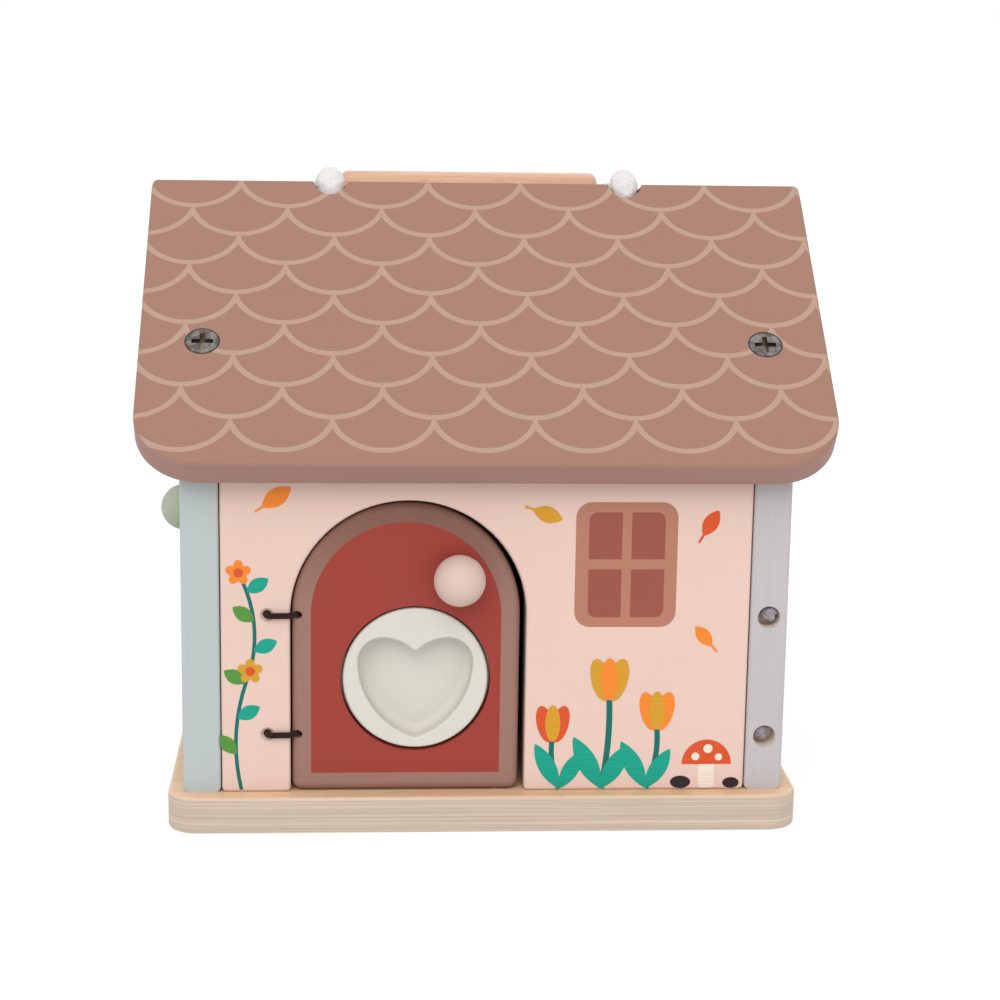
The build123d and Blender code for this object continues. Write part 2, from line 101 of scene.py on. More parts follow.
# Camera at the photograph's viewing angle
def make_camera(azimuth, elevation, roll, distance, focal_px, target):
    """Perspective camera for a frame of 1000 by 1000 pixels."""
    a, e, r = (math.radians(v) for v in (azimuth, elevation, roll))
    back = Vector((math.sin(a) * math.cos(e), -math.cos(a) * math.cos(e), math.sin(e)))
    flat = Vector((math.cos(a), math.sin(a), 0))
    rise = back.cross(flat)
    right = flat * math.cos(r) + rise * math.sin(r)
    up = rise * math.cos(r) - flat * math.sin(r)
    data = bpy.data.cameras.new("camera")
    data.sensor_width = 36
    data.lens = 36 * focal_px / 1000
    data.clip_start = 0.05
    data.clip_end = 1000
    camera = bpy.data.objects.new("camera", data)
    turn = Matrix((right, up, back)).transposed().to_4x4()
    camera.matrix_world = Matrix.Translation(Vector(target) + back * distance) @ turn
    bpy.context.scene.collection.objects.link(camera)
    bpy.context.scene.camera = camera


make_camera(
    azimuth=-3.693,
    elevation=12.09,
    roll=0.892,
    distance=0.80964,
    focal_px=2315.3,
    target=(0.009039, 0, 0.0894),
)


# Materials
class Paint:
    """Small builder for a node material around one Principled shader."""

    def __init__(self, name):
        self.material = bpy.data.materials.new(name)
        self.material.use_nodes = True
        self.tree = self.material.node_tree
        self.tree.nodes.clear()
        self.shader = self.add("ShaderNodeBsdfPrincipled")
        out = self.add("ShaderNodeOutputMaterial")
        self.link(self.shader.outputs[0], out.inputs[0])
        self.coords = self.add("ShaderNodeTexCoord")
        self.place = self.coords.outputs["Object"]
        split = self.add("ShaderNodeSeparateXYZ")
        self.link(self.place, split.inputs[0])
        self.x, self.y, self.z = split.outputs

    def add(self, kind):
        return self.tree.nodes.new(kind)

    def link(self, value, socket):
        """Links a socket, or sets a plain value."""
        if isinstance(value, bpy.types.NodeSocket):
            self.tree.links.new(value, socket)
        else:
            socket.default_value = value

    def set(self, **values):
        """Sets or links sockets of the shader, by name with _ for a space."""
        for name, value in values.items():
            self.link(value, self.shader.inputs[name.replace("_", " ")])

    def math(self, operation, a, b=0.0):
        node = self.add("ShaderNodeMath")
        node.operation = operation
        for value, socket in zip((a, b), node.inputs):
            self.link(value, socket)
        return node.outputs[0]

    def plus(self, a, b):
        return self.math("ADD", a, b)

    def minus(self, a, b):
        return self.math("SUBTRACT", a, b)

    def times(self, a, b):
        return self.math("MULTIPLY", a, b)

    def size(self, a):
        return self.math("ABSOLUTE", a)

    def radius(self, a, b):
        """Distance of a point from the middle, by its two offsets."""
        return self.math("SQRT", self.plus(self.times(a, a), self.times(b, b)))

    def slope(self):
        """Distances down a roof board's outer face from the ridge, and outward from that face."""
        side = self.size(self.y)
        rise = self.minus(self.z, RIDGE_Z)
        down = self.minus(self.times(side, math.cos(PITCH)), self.times(rise, math.sin(PITCH)))
        out = self.plus(self.times(side, math.sin(PITCH)), self.times(rise, math.cos(PITCH)))
        return down, out

    def mix(self, share, a, b, blend="MIX"):
        """Colour a going to colour b by a share."""
        node = self.add("ShaderNodeMix")
        node.data_type = "RGBA"
        node.blend_type = blend
        for value, socket in zip((share, a, b), (node.inputs[0], node.inputs[6], node.inputs[7])):
            self.link(value, socket)
        return node.outputs[2]

    def step(self, value, low, high, start=0.0, end=1.0):
        """Maps a value smoothly from low..high to start..end."""
        node = self.add("ShaderNodeMapRange")
        node.interpolation_type = "SMOOTHSTEP"
        for v, socket in zip((value, low, high, start, end), node.inputs):
            self.link(v, socket)
        return node.outputs[0]

    def scaled(self, scale):
        """Object coordinates stretched by a scale per axis."""
        node = self.add("ShaderNodeMapping")
        node.inputs["Scale"].default_value = scale
        self.link(self.place, node.inputs[0])
        return node.outputs[0]

    def noise(self, scale, detail=2.0, rough=0.5, warp=0.0):
        """Noise from object coordinates, with a scale per axis, around 0.5."""
        node = self.add("ShaderNodeTexNoise")
        self.link(self.scaled(scale), node.inputs["Vector"])
        node.inputs["Scale"].default_value = 1.0
        node.inputs["Detail"].default_value = detail
        node.inputs["Roughness"].default_value = rough
        node.inputs["Distortion"].default_value = warp
        return node.outputs[0]

    def bump(self, height, distance, strength=1.0):
        node = self.add("ShaderNodeBump")
        self.link(height, node.inputs["Height"])
        node.inputs["Distance"].default_value = distance
        node.inputs["Strength"].default_value = strength
        self.link(node.outputs[0], self.shader.inputs["Normal"])


def grain_scale(axis, along, across):
    """Scale per axis for noise that is drawn out along one axis."""
    scale = [across, across, across]
    scale["XYZ".index(axis)] = along
    return scale


def paint_over(paint, colour, axis, grain=0.03, depth=0.05, gloss=0.6):
    """Matt paint on wood: faint mottling, brushed fibres under the coat and uneven gloss."""
    fibres = paint.noise(grain_scale(axis, 40, 1600), 3.0, 0.55)
    cloud = paint.noise((30, 30, 30), 2.0)
    dark = paint.mix(1.0, colour, (1 - grain, 1 - 1.08 * grain, 1 - 1.12 * grain, 1), "MULTIPLY")
    tone = paint.plus(paint.times(fibres, 0.55), paint.times(cloud, 0.45))
    shade = paint.mix(paint.step(tone, 0.35, 0.68), dark, colour)
    rough = paint.step(cloud, 0.3, 0.7, gloss - 0.05, gloss + 0.07)
    paint.set(Base_Color=shade, Roughness=rough, Specular_IOR_Level=0.25)
    paint.bump(fibres, depth * MM, 0.6)
    return paint.material


def painted(name, colour, axis="Z", grain=0.03, depth=0.05, gloss=0.6):
    """Plain painted wood."""
    return paint_over(Paint(name), colour, axis, grain, depth, gloss)


def timber(name, light, dark, axis):
    """Clear-lacquered wood with drawn-out grain and short pores."""
    paint = Paint(name)
    rings = paint.noise(grain_scale(axis, 9, 190), 4.0, 0.6, 0.6)
    pores = paint.noise(grain_scale(axis, 150, 2300), 1.0)
    fleck = paint.step(pores, 0.62, 0.70)
    tone = paint.mix(paint.step(rings, 0.30, 0.72), light, dark)
    tone = paint.mix(paint.times(fleck, 0.45), tone, (0.30, 0.14, 0.07, 1))
    paint.set(Base_Color=tone, Roughness=paint.step(rings, 0.2, 0.8, 0.42, 0.55))
    paint.bump(pores, 0.05 * MM, 0.5)
    return paint.material


def plywood(name):
    """Birch plywood: open grain on the faces and stacked veneers on the edges."""
    paint = Paint(name)
    veneer = BASE_THICKNESS / PLIES
    wander = paint.times(paint.minus(paint.noise((14, 14, 60), 2.0), 0.5), 0.5 * MM)
    level = paint.math("DIVIDE", paint.plus(paint.z, wander), veneer)
    within = paint.math("FRACT", level)
    parity = paint.math("MODULO", paint.math("FLOOR", level), 2.0)
    cross = paint.noise((900, 900, 2600), 2.0)
    streak = paint.noise((9, 9, 2900), 4.0, 0.65)
    drawn = paint.step(streak, 0.34, 0.66)
    pale = paint.mix(drawn, linear(220, 202, 184), linear(198, 177, 159))
    deep = paint.mix(drawn, linear(217, 199, 181), linear(196, 174, 156))
    deep = paint.mix(paint.times(cross, 0.12), deep, linear(172, 146, 124))
    layer = paint.mix(parity, pale, deep)
    glue = paint.math("MAXIMUM", paint.step(within, 0.11, 0.0), paint.step(within, 0.89, 1.0))
    edge = paint.mix(paint.times(glue, 0.5), layer, linear(178, 140, 112))
    grain = paint.noise((7, 150, 60), 4.0, 0.62, 0.8)
    pores = paint.noise((130, 2200, 900), 1.0)
    face = paint.mix(paint.step(grain, 0.28, 0.74), linear(236, 201, 166, 0.83), linear(226, 184, 146, 0.83))
    face = paint.mix(paint.times(paint.step(pores, 0.62, 0.7), 0.3), face, linear(176, 132, 96))
    normal = paint.add("ShaderNodeSeparateXYZ")
    paint.link(paint.coords.outputs["Normal"], normal.inputs[0])
    flat = paint.step(paint.size(normal.outputs[2]), 0.55, 0.8)
    paint.set(Base_Color=paint.mix(flat, edge, face), Roughness=0.52)
    height = paint.plus(paint.times(cross, 0.5), paint.times(glue, -1.0))
    paint.bump(height, 0.08 * MM, 0.5)
    return paint.material


def scallop_roof(name, body, line, edge, phase):
    """Painted roof board with printed fish-scale lines on its outer face."""
    paint = Paint(name)
    rows = 9
    pitch = 31.4 * MM
    row = 13.44 * MM
    first = 12.25 * MM
    radius = 16.7 * MM
    width = 1.95 * MM
    down, out = paint.slope()
    level = paint.math("DIVIDE", paint.minus(down, first - row), row)
    index = paint.math("FLOOR", level)
    below = paint.times(paint.minus(level, index), row)
    shift = paint.times(paint.math("MODULO", paint.plus(index, 20.0), 2.0), 0.5)
    place = paint.math("DIVIDE", paint.minus(paint.x, phase), pitch)
    column = paint.plus(place, shift)
    off = paint.size(paint.minus(column, paint.math("ROUND", column)))
    across = paint.times(off, pitch)

    def arc_gap(side, drop):
        """Distance from an arc whose middle is a given drop above the point."""
        return paint.size(paint.minus(paint.radius(side, drop), radius))

    own = arc_gap(across, paint.plus(below, radius - row))
    own = paint.plus(own, paint.math("GREATER_THAN", index, rows - 0.5))
    above = arc_gap(paint.minus(pitch / 2, across), paint.plus(below, radius))
    gap = paint.math("MINIMUM", own, above)
    stroke = paint.step(gap, width / 2 - 0.08 * MM, width / 2 + 0.08 * MM, 1.0, 0.0)
    skin = paint.step(out, -0.9 * MM, -0.6 * MM)
    printed = paint.mix(stroke, body, line)
    return paint_over(paint, paint.mix(skin, edge, printed), "X", 0.025, 0.025, 0.6)


def door_paint(name, node, axis, rim, field, arch_shade=None):
    """Painted door with a rim, an arched field and, if asked, a painted shade that darkens the rim towards
    the arch top, all of one door size.
    """
    paint = Paint(name)
    low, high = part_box("front_door")
    foot, top = low[2], high[2]
    radius = (high[0] - low[0]) / 2
    spring = top - radius
    # Painted shade: the rim darkens towards the arch top, standing in for the eave's shadow on the door.
    if arch_shade:
        rim = paint.mix(paint.step(paint.z, spring, top), rim, arch_shade)
    middle = sum(corner["XYZ".index(axis)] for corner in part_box(node)) / 2
    along = paint.x if axis == "X" else paint.y
    across = paint.minus(along, middle)
    over = paint.math("MAXIMUM", paint.minus(paint.z, spring), 0.0)
    sides = paint.minus(paint.radius(across, over), radius - DOOR_RIM)
    sill = paint.minus(foot + DOOR_RIM, paint.z)
    inside = paint.step(paint.math("MAXIMUM", sides, sill), -0.1 * MM, 0.1 * MM, 1.0, 0.0)
    return paint_over(paint, paint.mix(inside, rim, field), "Z", 0.025, 0.025, 0.6)


def wall_paint(name, colour, grain, side):
    """Painted gable wall, with bare wood in the knot holes of its edge."""
    paint = Paint(name)
    across = paint.minus(paint.x, side * WALL_X * MM)
    depth = paint.plus(paint.times(paint.y, side), HALF_DEPTH * MM)
    bare = paint.noise(grain_scale("Y", 60, 900), 3.0)
    wood = paint.mix(paint.step(bare, 0.3, 0.7), linear(240, 224, 212, 0.9), linear(224, 202, 186, 0.9))
    near = []
    for level in SIDE_CORDS.values():
        rise = paint.minus(paint.z, level * MM)
        near.append(paint.math("LESS_THAN", paint.radius(across, rise), KNOT_HOLE_RADIUS))
    inside = paint.math("MAXIMUM", *near)
    sunk = paint.step(depth, 0.15 * MM, 0.6 * MM)
    shallow = paint.math("LESS_THAN", depth, KNOT_HOLE_REACH)
    share = paint.times(inside, paint.times(sunk, shallow))
    return paint_over(paint, paint.mix(share, colour, wood), "Z", grain, 0.05)


def steel(name, sunk=False):
    """Nickel-plated screw with fine turning marks, and on a roof screw grime in the recess and a painted
    dark shade ring round the head's edge.
    """
    paint = Paint(name)
    smear = paint.noise((420, 420, 420), 2.0)
    fine = paint.noise((3200, 3200, 3200), 2.0)
    tone = paint.mix(paint.step(smear, 0.35, 0.7), (0.128, 0.114, 0.108, 1), (0.29, 0.266, 0.255, 1))
    if sunk:
        head = SCREW_HEAD_RADIUS
        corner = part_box("roof_screws")[1]
        down, height = paint.slope()
        recess = paint.step(height, -0.9 * MM, -0.1 * MM, 1.0, 0.0)
        tone = paint.mix(recess, tone, (0.26, 0.215, 0.175, 1))
        # Painted shade: a near-black ring round the head's edge, standing in for the shadow where the head
        # meets the board.
        down = paint.minus(down, corner[1] / math.cos(PITCH) - head)
        side = paint.minus(paint.size(paint.x), corner[0] - head)
        rim_shade = paint.step(paint.radius(side, down), 0.87 * head, 0.97 * head, 0.0, 0.8)
        tone = paint.mix(rim_shade, tone, (0.03, 0.025, 0.022, 1))
    paint.set(Base_Color=tone, Metallic=1.0, Roughness=paint.step(fine, 0.3, 0.7, 0.24, 0.36))
    paint.bump(fine, 0.01 * MM, 0.3)
    return paint.material


def yarn(name, colour, groove, sheen=0.35):
    """Soft cotton or elastic yarn with fuzz and darker grooves."""
    paint = Paint(name)
    fuzz = paint.noise((2600, 2600, 2600), 3.0, 0.65)
    patch = paint.noise((260, 260, 260), 2.0)
    tone = paint.mix(paint.step(fuzz, 0.34, 0.66), groove, colour)
    tone = paint.mix(paint.times(paint.step(patch, 0.45, 0.75), 0.25), tone, groove)
    paint.set(Base_Color=tone, Roughness=0.9, Specular_IOR_Level=0.2)
    paint.set(Sheen_Weight=sheen, Sheen_Roughness=0.5)
    paint.bump(fuzz, 0.12 * MM, 0.7)
    return paint.material


PINK = linear(236, 205, 192)
BROWN = linear(160, 120, 108)
RED = linear(162, 62, 51)
# Painted shade colour for the door rim over the arch, standing in for the eave's shadow there.
PAINTED_ARCH_SHADE = linear(132, 92, 78)
SAGE = (linear(150, 164, 160), linear(116, 138, 134))
MAUVE = (linear(178, 156, 168), linear(146, 112, 132))

beech = timber("beech", linear(232, 187, 158), linear(210, 160, 130), "X")
screw_steel = steel("screw_steel")
rope_yarn = yarn("rope_yarn", linear(244, 241, 240), linear(220, 216, 215))
elastic_yarn = yarn("elastic_yarn", linear(190, 183, 192), linear(126, 117, 128))
brown_yarn = yarn("brown_yarn", linear(62, 32, 22), linear(34, 14, 8), 0.05)
roof = scallop_roof(
    "roof_paint",
    body=linear(173, 129, 111, 0.7),
    line=linear(195, 160, 140, 0.705),
    edge=linear(170, 131, 120),
    phase=-1.5 * MM,
)

looks = {
    "base_board": plywood("birch_ply"),
    "front_panel": painted("pink_paint", PINK, "X", 0.012, 0.015),
    "back_panel": painted("pink_back_paint", PINK, "X", 0.03, 0.03),
    "left_wall": wall_paint("sage_paint", linear(192, 201, 200), 0.03, -1),
    "right_wall": wall_paint("lavender_paint", linear(201, 195, 197), 0.06, 1),
    "front_roof_board": roof,
    "back_roof_board": roof,
    "front_door": door_paint("red_door_paint", "front_door", "X", BROWN, RED, PAINTED_ARCH_SHADE),
    "left_door": door_paint("sage_door_paint", "left_door", "Y", *SAGE),
    "right_door": door_paint("mauve_door_paint", "right_door", "Y", *MAUVE),
    "heart_dial": painted("ivory_paint", linear(224, 220, 209), "X", 0.02, 0.02, 0.5),
    "front_knob": painted("peach_paint", linear(225, 198, 186), "Z", 0.03, 0.03),
    "left_knob": painted("green_paint", linear(180, 191, 169), "Z", 0.03, 0.03),
    "right_knob": painted("mauve_paint", linear(186, 176, 190), "Z", 0.03, 0.03),
    "dial_retaining_ring": timber("ring_beech", linear(226, 190, 152), linear(206, 164, 124), "Z"),
    "latch_tongue": timber("tongue_beech", linear(226, 186, 146), linear(204, 156, 114), "Z"),
    "wall_dowels": beech,
    "handle_grip": beech,
    "roof_screws": steel("roof_screw_steel", sunk=True),
}
small_screws = ["base_screws", "ring_screws", "tongue_screws"]
small_screws += ["front_knob_screw", "left_knob_screw", "right_knob_screw"]
for name in small_screws:
    looks[name] = screw_steel
for name, material in looks.items():
    slots = nodes[name].data.materials
    slots.clear()
    slots.append(material)


# Meshes
def mesh_piece(name, verts, faces, material, smooth=True):
    """New mesh object with outward faces."""
    mesh = bpy.data.meshes.new(name)
    mesh.from_pydata(verts, [], faces)
    work = bmesh.new()
    work.from_mesh(mesh)
    bmesh.ops.recalc_face_normals(work, faces=work.faces)
    work.to_mesh(mesh)
    work.free()
    for polygon in mesh.polygons:
        polygon.use_smooth = smooth
    mesh.materials.append(material)
    piece = bpy.data.objects.new(name, mesh)
    bpy.context.scene.collection.objects.link(piece)
    return piece


def spline_points(points, resolution):
    """Points along the smooth curve that has the given route as its control points, in metres."""
    curve = bpy.data.curves.new("route", "CURVE")
    curve.dimensions = "3D"
    curve.resolution_u = resolution
    spline = curve.splines.new("NURBS")
    spline.points.add(len(points) - 1)
    for point, place in zip(spline.points, points):
        point.co = (*place, 1)
    spline.order_u = 3
    spline.use_endpoint_u = True
    holder = bpy.data.objects.new("route", curve)
    bpy.context.scene.collection.objects.link(holder)
    bpy.context.view_layer.update()
    mesh = bpy.data.meshes.new_from_object(holder.evaluated_get(bpy.context.evaluated_depsgraph_get()))
    line = [v.co.copy() for v in mesh.vertices]
    bpy.data.objects.remove(holder)
    bpy.data.meshes.remove(mesh)
    return line


def walk(line, spacing):
    """Evenly spaced places along a line of points, each with its direction."""
    lengths = [0.0]
    for a, b in zip(line, line[1:]):
        lengths.append(lengths[-1] + (b - a).length)
    count = max(2, round(lengths[-1] / spacing))
    places = []
    i = 0
    for k in range(count + 1):
        s = lengths[-1] * k / count
        while i < len(line) - 2 and lengths[i + 1] < s:
            i += 1
        span = max(lengths[i + 1] - lengths[i], 1e-9)
        places.append((line[i].lerp(line[i + 1], (s - lengths[i]) / span), s))
    out = []
    for k, (place, s) in enumerate(places):
        ahead = places[min(k + 1, count)][0] - places[max(k - 1, 0)][0]
        out.append((place, ahead.normalized(), s))
    return out


def cord_rings(line, spacing, side):
    """Frames along a line that turn as little as they can."""
    rings = []
    for place, ahead, s in walk(line, spacing):
        side = (side - ahead * side.dot(ahead)).normalized()
        rings.append((place, side, ahead.cross(side), s))
    return rings


def braided_tube(name, line, radius, material, lay, side, spacing, segments, relief=0.14, widen=None):
    """Braided cord: a closed tube whose skin rises along two sets of crossing strands."""
    strands = 8
    verts, faces = [], []
    rings = cord_rings(line, spacing, side)
    for place, u, v, s in rings:
        for k in range(segments):
            angle = 2 * math.pi * k / segments
            turn = 2 * math.pi * s / lay
            right = math.cos(strands / 2 * (angle + turn))
            left = math.cos(strands / 2 * (angle - turn))
            rise = max(right, left) * 0.5 + 0.5 * abs(right * left)
            out = (u * math.cos(angle) + v * math.sin(angle)) * radius * (1 - relief + relief * rise)
            if widen:
                out.x *= widen(place)
            verts.append(place + out)
    for i in range(len(rings) - 1):
        for k in range(segments):
            n = (k + 1) % segments
            here, ahead = i * segments, (i + 1) * segments
            faces.append((here + k, here + n, ahead + n, ahead + k))
    faces.append(tuple(range(segments))[::-1])
    faces.append(tuple(range((len(rings) - 1) * segments, len(rings) * segments)))
    return mesh_piece(name, verts, faces, material)


def knot_mesh(name, centre, radius, axis, cord, material):
    """Overhand stopper knot: a cord wound round itself, inside a ball of the given radius."""
    axis = Vector(axis).normalized()
    u = axis.orthogonal().normalized()
    v = axis.cross(u)
    steps = 96
    segments = 14
    wide = radius - cord
    loop = []
    for k in range(steps):
        t = 2 * math.pi * k / steps
        ring = wide * (0.62 + 0.38 * math.cos(3 * t))
        place = Vector(centre) + (u * math.cos(2 * t) + v * math.sin(2 * t)) * ring
        loop.append(place + axis * (0.62 * wide * math.sin(3 * t)))
    verts, faces = [], []
    for k in range(steps):
        ahead = (loop[(k + 1) % steps] - loop[k - 1]).normalized()
        side = (loop[k] - Vector(centre)).cross(ahead).normalized()
        lift = ahead.cross(side)
        for j in range(segments):
            angle = 2 * math.pi * j / segments
            verts.append(loop[k] + (side * math.cos(angle) + lift * math.sin(angle)) * cord)
    for k in range(steps):
        n = (k + 1) % steps
        for j in range(segments):
            m = (j + 1) % segments
            faces.append((k * segments + j, k * segments + m, n * segments + m, n * segments + j))
    return mesh_piece(name, verts, faces, material)


def join(pieces, name):
    """Joins pieces into one mesh object."""
    bpy.ops.object.select_all(action="DESELECT")
    for piece in pieces:
        piece.select_set(True)
    bpy.context.view_layer.objects.active = pieces[0]
    bpy.ops.object.join()
    pieces[0].name = name
    pieces[0].data.name = name
    return pieces[0]


# Wall boards, with the corners of their feet rounded over
def round_feet(node, corners):
    """Copy of a board with its foot corners rounded, in place of the plain board."""
    radius = FOOT_RADIUS
    steps = 6
    work = bmesh.new()
    work.from_mesh(nodes[node].data)
    bmesh.ops.remove_doubles(work, verts=work.verts, dist=0.002 * MM)
    foot = min(v.co.z for v in work.verts)
    parts = [(k + 1) / steps * radius for k in range(steps)]
    cuts = [((0, 0, foot + part), (0, 0, 1)) for part in parts]
    cuts += [((x * MM + side * part, 0, 0), (1, 0, 0)) for x, side in corners for part in parts]
    for place, normal in cuts:
        near = [f for f in work.faces if min(v.co.z for v in f.verts) < foot + radius]
        touched = near + [e for f in near for e in f.edges] + [v for f in near for v in f.verts]
        bmesh.ops.bisect_plane(
            work, geom=list(dict.fromkeys(touched)), plane_co=place, plane_no=normal, dist=0.001 * MM
        )
    for v in work.verts:
        for x, side in corners:
            across = 1 - side * (v.co.x - x * MM) / radius
            down = 1 - (v.co.z - foot) / radius
            if 0 < across < 1.01 and 0 < down < 1.01:
                v.co.x = x * MM + side * radius * (1 - across * math.sqrt(1 - down * down / 2))
                v.co.z = foot + radius * (1 - down * math.sqrt(1 - across * across / 2))
                break
    work.verts.index_update()
    verts = [v.co.copy() for v in work.verts]
    faces = [tuple(v.index for v in face.verts) for face in work.faces]
    work.free()
    piece = mesh_piece(node + "_board", verts, faces, looks[node])
    piece.data.set_sharp_from_angle(angle=math.radians(40))
    piece.modifiers.new("normals", "WEIGHTED_NORMAL").keep_sharp = True
    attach(piece, "house")
    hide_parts(node)


round_feet("front_panel", ((-83.7, 1), (-61.9, -1), (12.6, 1), (83.7, -1)))
round_feet("back_panel", ((-83.7, 1), (83.7, -1)))
round_feet("left_wall", ((-96, 1), (-84, -1)))
round_feet("right_wall", ((84, 1), (96, -1)))


# Handle rope, through the ridge and the grip
def rope_leg(end):
    """Corners of the rope on one side, from the knot under the ridge to the grip."""
    x = end * ROPE_X
    return [(x, 0, ROPE_KNOT_Z), (x, 0, 197.54), (x, 7.5, 201.87), (x - 2.1 + end * 2.3, 23.72, 192.50)]


rope_route = [Vector(p) * MM for p in rope_leg(-1) + rope_leg(1)[::-1]]
rope_line = spline_points(rope_route, 24)


def rope_widening(place):
    """How much wider the rope is pressed where it comes out of the ridge."""
    mouth = Vector((math.copysign(ROPE_X * MM, place.x), 1 * MM, 200 * MM))
    return 1 + 0.38 * math.exp(-(((place - mouth).length / (6 * MM)) ** 2))


rope = braided_tube(
    "braided_rope",
    rope_line,
    3.7 * MM,
    rope_yarn,
    lay=13 * MM,
    side=Vector((1, 0, 0)),
    spacing=0.6 * MM,
    segments=64,
    relief=0.09,
    widen=rope_widening,
)
knots = []
for end in (-1, 1):
    centre = Vector((end * ROPE_X, 0, ROPE_KNOT_Z)) * MM
    knots.append(knot_mesh("rope_knot", centre, 6.9 * MM, (0, 0.2, 1), 3.0 * MM, rope_yarn))
rope_knots = join(knots, "rope_knots")
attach(rope_knots, "house")
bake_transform(rope)
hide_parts("handle_rope")
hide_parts("handle_rope")


# Hinge cords
def hinge_cord(node, points, radius, knot, knot_axis, material, nudge=(0, 0, 0)):
    """Braided hinge cord with its knot, bending from the house to a door."""
    line = spline_points([Vector(p) * MM for p in points], 16)
    tube = braided_tube(
        node + "_braid",
        line,
        radius * MM,
        material,
        lay=radius * 3.4 * MM,
        side=Vector((0, 0, 1)),
        spacing=0.25 * MM,
        segments=32,
    )
    centre = (Vector(points[0]) + Vector(nudge)) * MM
    ball = knot_mesh(node + "_knot", centre, knot * MM, knot_axis, knot * 0.4 * MM, material)
    piece = join([tube, ball], node + "_braid")
    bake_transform(piece)
    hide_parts(node)


for node, z in FRONT_CORDS.items():
    points = [(-69.2, -69.2, z), (-69.2, -82, z), (-69, -85.4, z), (-65, -85.1, z)]
    points += [(-61.6, -85.2, z), (-60.5, -83, z), (-57, -79.5, z)]
    hinge_cord(
        node,
        points,
        radius=1.0,
        knot=2.5,
        knot_axis=(0, 1, 0),
        material=brown_yarn,
    )
for side, (sign, gap) in SIDE_HINGES.items():
    x = sign * WALL_X
    depths = (SIDE_KNOT_Y, (SIDE_KNOT_Y + gap) / 2, gap, gap - 6, gap - 12.25)
    nudges = {"upper": (sign * 0.6, -sign * 0.8, 0.6), "lower": (-sign * 0.75, sign * 0.2, 0.6)}
    for level, z in SIDE_CORDS.items():
        hinge_cord(
            side + "_hinge_cord_" + level,
            [(x, -sign * y, z) for y in depths],
            radius=1.2,
            knot=2.7,
            knot_axis=(0.5, 1, 0.3),
            material=elastic_yarn,
            nudge=nudges[level],
        )


# Printed motifs on the front panel, as thin plates on its face
def ellipse(cx, cz, rx, rz, lean=0.0, count=28):
    """Outline of a leaning ellipse."""
    turn = math.radians(lean)
    c, s = math.cos(turn), math.sin(turn)
    points = []
    for k in range(count):
        a = 2 * math.pi * k / count
        x, z = rx * math.cos(a), rz * math.sin(a)
        points.append((cx + x * c - z * s, cz + x * s + z * c))
    return points


def leaf(cx, cz, length, width, lean, count=16):
    """Outline of a pointed oval leaf from its foot at cx, cz."""
    turn = math.radians(lean)
    edge = []
    for k in range(count + 1):
        t = k / count
        edge.append((length * t, width / 2 * math.sin(math.pi * t) ** 0.8))
    outline = edge + [(x, -w) for x, w in edge[-2:0:-1]]
    c, s = math.cos(turn), math.sin(turn)
    return [(cx + x * c - w * s, cz + x * s + w * c) for x, w in outline]


def band(points, width):
    """Outline of a stem of constant width along a bent line."""
    left, right = [], []
    for k, (x, z) in enumerate(points):
        x0, z0 = points[max(k - 1, 0)]
        x1, z1 = points[min(k + 1, len(points) - 1)]
        size = math.hypot(x1 - x0, z1 - z0)
        nx, nz = -(z1 - z0) / size * width / 2, (x1 - x0) / size * width / 2
        left.append((x + nx, z + nz))
        right.append((x - nx, z - nz))
    return left + right[::-1]


def bow(start, end, sag, count=10):
    """Points of a gently bent line from start to end."""
    (x0, z0), (x1, z1) = start, end
    dx, dz = x1 - x0, z1 - z0
    size = math.hypot(dx, dz)
    points = []
    for k in range(count + 1):
        t = k / count
        lift = 4 * sag * t * (1 - t)
        points.append((x0 + dx * t - dz / size * lift, z0 + dz * t + dx / size * lift))
    return points


def rounded(x0, z0, x1, z1, radii, count=6):
    """Outline of a box with a radius for each corner: lower left, lower right, upper right, upper left."""
    corners = [(x0, z0, 180), (x1, z0, 270), (x1, z1, 0), (x0, z1, 90)]
    points = []
    for (x, z, turn), r in zip(corners, radii):
        cx = x + (r if x == x0 else -r)
        cz = z + (r if z == z0 else -r)
        for k in range(count + 1):
            a = math.radians(turn + 90 * k / count)
            points.append((cx + r * math.cos(a), cz + r * math.sin(a)))
    return points


class Print:
    """Collects flat outlines of one ink and makes them one thin piece."""

    def __init__(self, name, colour):
        self.name = name
        self.material = painted(name + "_ink", colour, "X", 0.012, 0.5)
        self.verts = []
        self.faces = []

    def draw(self, outline, layer):
        """Adds an outline in millimetres, on a layer above the panel's face."""
        base = len(self.verts)
        count = len(outline)
        near = FACE_Y - 0.03 * (1 + layer) * MM
        for y in (FACE_Y + 0.05 * MM, near):
            self.verts += [Vector((x * MM, y, z * MM)) for x, z in outline]
        self.faces.append(tuple(range(base, base + count)))
        self.faces.append(tuple(range(base + count, base + 2 * count))[::-1])
        for k in range(count):
            n = (k + 1) % count
            self.faces.append((base + k, base + n, base + count + n, base + count + k))

    def finish(self):
        piece = mesh_piece(self.name, self.verts, self.faces, self.material, smooth=False)
        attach(piece, "house")


inks = {
    "frame": Print("print_window_frame", linear(188, 128, 105)),
    "pane": Print("print_window_pane", linear(160, 86, 72)),
    "stem": Print("print_stem", linear(8, 112, 104)),
    "leaf": Print("print_leaf", linear(10, 165, 140)),
    "gold": Print("print_gold", linear(219, 160, 42)),
    "ember": Print("print_ember", linear(224, 86, 40)),
    "amber": Print("print_amber", linear(250, 140, 44)),
    "grass": Print("print_grass", linear(88, 150, 62)),
    "cream": Print("print_cream", linear(246, 232, 214)),
    "coal": Print("print_coal", linear(44, 36, 40)),
}

